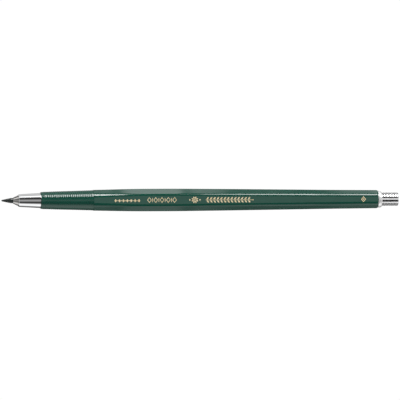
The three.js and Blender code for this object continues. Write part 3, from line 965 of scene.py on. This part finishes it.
def floor_material():
    """Even glow, there from above only, so that the underside can be looked at."""
    look = Look("floor_pale", shader="MixShader")
    glow = look.node("Emission", {0: (1.0, 1.0, 1.0), 1: PALE})
    return look.surface({0: look.node("NewGeometry").outputs["Backfacing"],
                         1: glow.outputs[0],
                         2: look.node("BsdfTransparent").outputs[0]})


grid = bmesh.new()
bmesh.ops.create_grid(grid, x_segments=8, y_segments=8, size=3.0)
floor_mesh = bpy.data.meshes.new("floor")
grid.to_mesh(floor_mesh)
grid.free()
floor = bpy.data.objects.new("floor", floor_mesh)
floor.location = (0, 0, -0.12)
scene.collection.objects.link(floor)
floor_mesh.materials.append(floor_material())
floor.visible_glossy = False
floor.visible_diffuse = False

# ----------------------------------------------------------------------- studio
# Surround like a tent of pale cloth: its brightness depends on the direction round the
# barrel axis, here as (angle, level), and on the lean of the direction along +X.
CLOTH = [
    (-180, 0.20), (-165, 0.05), (-150, 0.06), (-132, 0.14), (-120, 0.25), (-112, 0.48),
    (-105, 1.00), (-92, 1.42), (-68, 1.42), (-58, 0.78), (-50, 0.32), (-40, 0.05),
    (-25, 0.02), (22, 0.02), (44, 0.03), (54, 0.25), (62, 0.55), (82, 0.62), (95, 0.38),
    (108, 0.18), (120, 0.30), (126, 0.32), (138, 0.50), (152, 0.75), (168, 0.75), (180, 0.30),
]
OVERHEAD = [(-13, 0.0), (-8, 0.30), (-3, 0.87), (3, 0.87), (8, 0.30), (13, 0.0)]
OVERHEAD_NOSE = [(-30, 0.0), (-16, 0.24), (-5, 0.46), (5, 0.46), (16, 0.20), (27, 0.0)]
KEY = [(43, 0.0), (49, 17.0), (71, 17.0), (78, 0.0)]
KEY_NOSE = [(41, 0.0), (50, 0.22), (60, 0.85), (66, 1.15), (76, 1.10), (84, 0.0)]
SIDE_CARD = [(84, 0.0), (92, 2.6), (104, 3.4), (114, 2.4), (122, 1.5), (133, 0.0)]
LOW_CARD = [(-132, 0.0), (-124, 0.42), (-110, 0.42), (-100, 0.0)]
LOW_DIP = [(-112, 0.0), (-98, 0.55), (-72, 0.55), (-60, 0.0)]
LOW_SIDE = [(80, 0.0), (92, 0.25), (112, 0.60), (128, 0.60), (140, 0.0)]


def surround(graph, x, y, z):
    """Brightness of the tent in a direction."""
    times, plus = graph.times, graph.plus
    turn = graph.span(graph.math("ARCTAN2", y, z), low=-math.pi, high=math.pi)

    def bands(stops):
        """Brightness by angle round the axis."""
        peak = max(level for _, level in stops)
        scaled = [((angle + 180) / 360, level / peak) for angle, level in stops]
        return times(graph.ramp(turn, scaled), peak)

    def lean(low, high, to=(0.0, 1.0)):
        return graph.span(x, low, high, to, smooth=True)

    def fall(low, high):
        return lean(low, high, to=(1.0, 0.0))

    def window(rise_from, rise_to, fall_from, fall_to):
        """One between two leans, fading to nothing outside them."""
        return times(lean(rise_from, rise_to), fall(fall_from, fall_to))

    key_gap = window(0.098, 0.106, 0.1225, 0.1265)
    card_reach = window(0.099, 0.108, 0.1178, 0.1218)
    overhead = plus(times(bands(OVERHEAD), lean(0.035, 0.09)),
                    times(bands(OVERHEAD_NOSE), fall(0.035, 0.07)))
    key = times(bands(KEY), window(0.040, 0.056, 0.30, 0.55))
    key = times(key, graph.rest(times(key_gap, 0.95)))
    key = times(key, lean(0.100, 0.112, to=(1.25, 0.95)))
    nose = plus(times(bands(KEY_NOSE), fall(0.040, 0.056)),
                times(bands(LOW_SIDE), fall(0.06, 0.085)))
    dip = times(bands(LOW_DIP), window(0.040, 0.055, 0.080, 0.095))
    cloth = graph.math("SUBTRACT", bands(CLOTH), dip)
    level = plus(cloth, overhead, key, nose,
                 times(bands(SIDE_CARD), card_reach), times(bands(LOW_CARD), card_reach))
    # towards the two ends of the holder it is soft, bright above and dim below
    away = graph.span(graph.math("ABSOLUTE", x), low=0.55, high=0.9, smooth=True)
    ends = graph.span(z, low=-0.35, high=0.45, to=(0.10, 0.70), smooth=True)
    return plus(times(level, graph.rest(away)), times(away, ends))


def studio():
    world = bpy.data.worlds.new("studio")
    scene.world = world
    world.use_nodes = True
    graph = Graph(world.node_tree, "Generated")
    x, y, z = graph.split()
    tent = graph.node("Background", {"Strength": surround(graph, x, y, z)})
    # matt surfaces take an even soft light, a little stronger from above and both sides
    soft_level = graph.plus(graph.times(z, 0.15), graph.times(graph.times(y, y), 0.90), 0.70)
    soft = graph.node("Background", {"Strength": soft_level})
    plain = graph.node("Background", {0: (1.0, 1.0, 1.0), 1: PALE})
    path = graph.node("LightPath").outputs
    lit = graph.node("MixShader", {0: path["Is Diffuse Ray"], 1: tent.outputs[0],
                                   2: soft.outputs[0]})
    seen = graph.node("MixShader", {0: path["Is Camera Ray"], 1: lit.outputs[0],
                                    2: plain.outputs[0]})
    graph.node("OutputWorld", {0: seen.outputs[0]})
    world.cycles.sampling_method = "MANUAL"
    world.cycles.sample_map_resolution = 2048


studio()
scene.view_settings.view_transform = "Standard"
scene.view_settings.look = "None"

# ----------------------------------------------------------------------- camera
LEAN, ROLL = 6.5, 0.234              # degrees towards the lead point, and about the view
VIEW_WIDTH, VIEW_DROP = 153.0, 0.0612
CAMERA_DISTANCE = 0.5                # metres

tilt, roll = math.radians(LEAN), math.radians(ROLL)
back = Vector((-math.sin(tilt), 0.0, math.cos(tilt)))
level_right = Vector((math.cos(tilt), 0.0, math.sin(tilt)))
level_up = Vector((0.0, 1.0, 0.0))
right = level_right * math.cos(roll) - level_up * math.sin(roll)
up = level_up * math.cos(roll) + level_right * math.sin(roll)
camera_data = bpy.data.cameras.new("camera")
camera_data.type = "ORTHO"
camera_data.ortho_scale = VIEW_WIDTH * MM
camera_data.clip_start = 0.01
camera_data.clip_end = 20.0
camera = bpy.data.objects.new("camera", camera_data)
camera.rotation_mode = "QUATERNION"
camera.rotation_quaternion = Matrix((right, up, back)).transposed().to_quaternion()
camera.location = back * CAMERA_DISTANCE - up * (VIEW_DROP * MM)
scene.collection.objects.link(camera)
scene.camera = camera
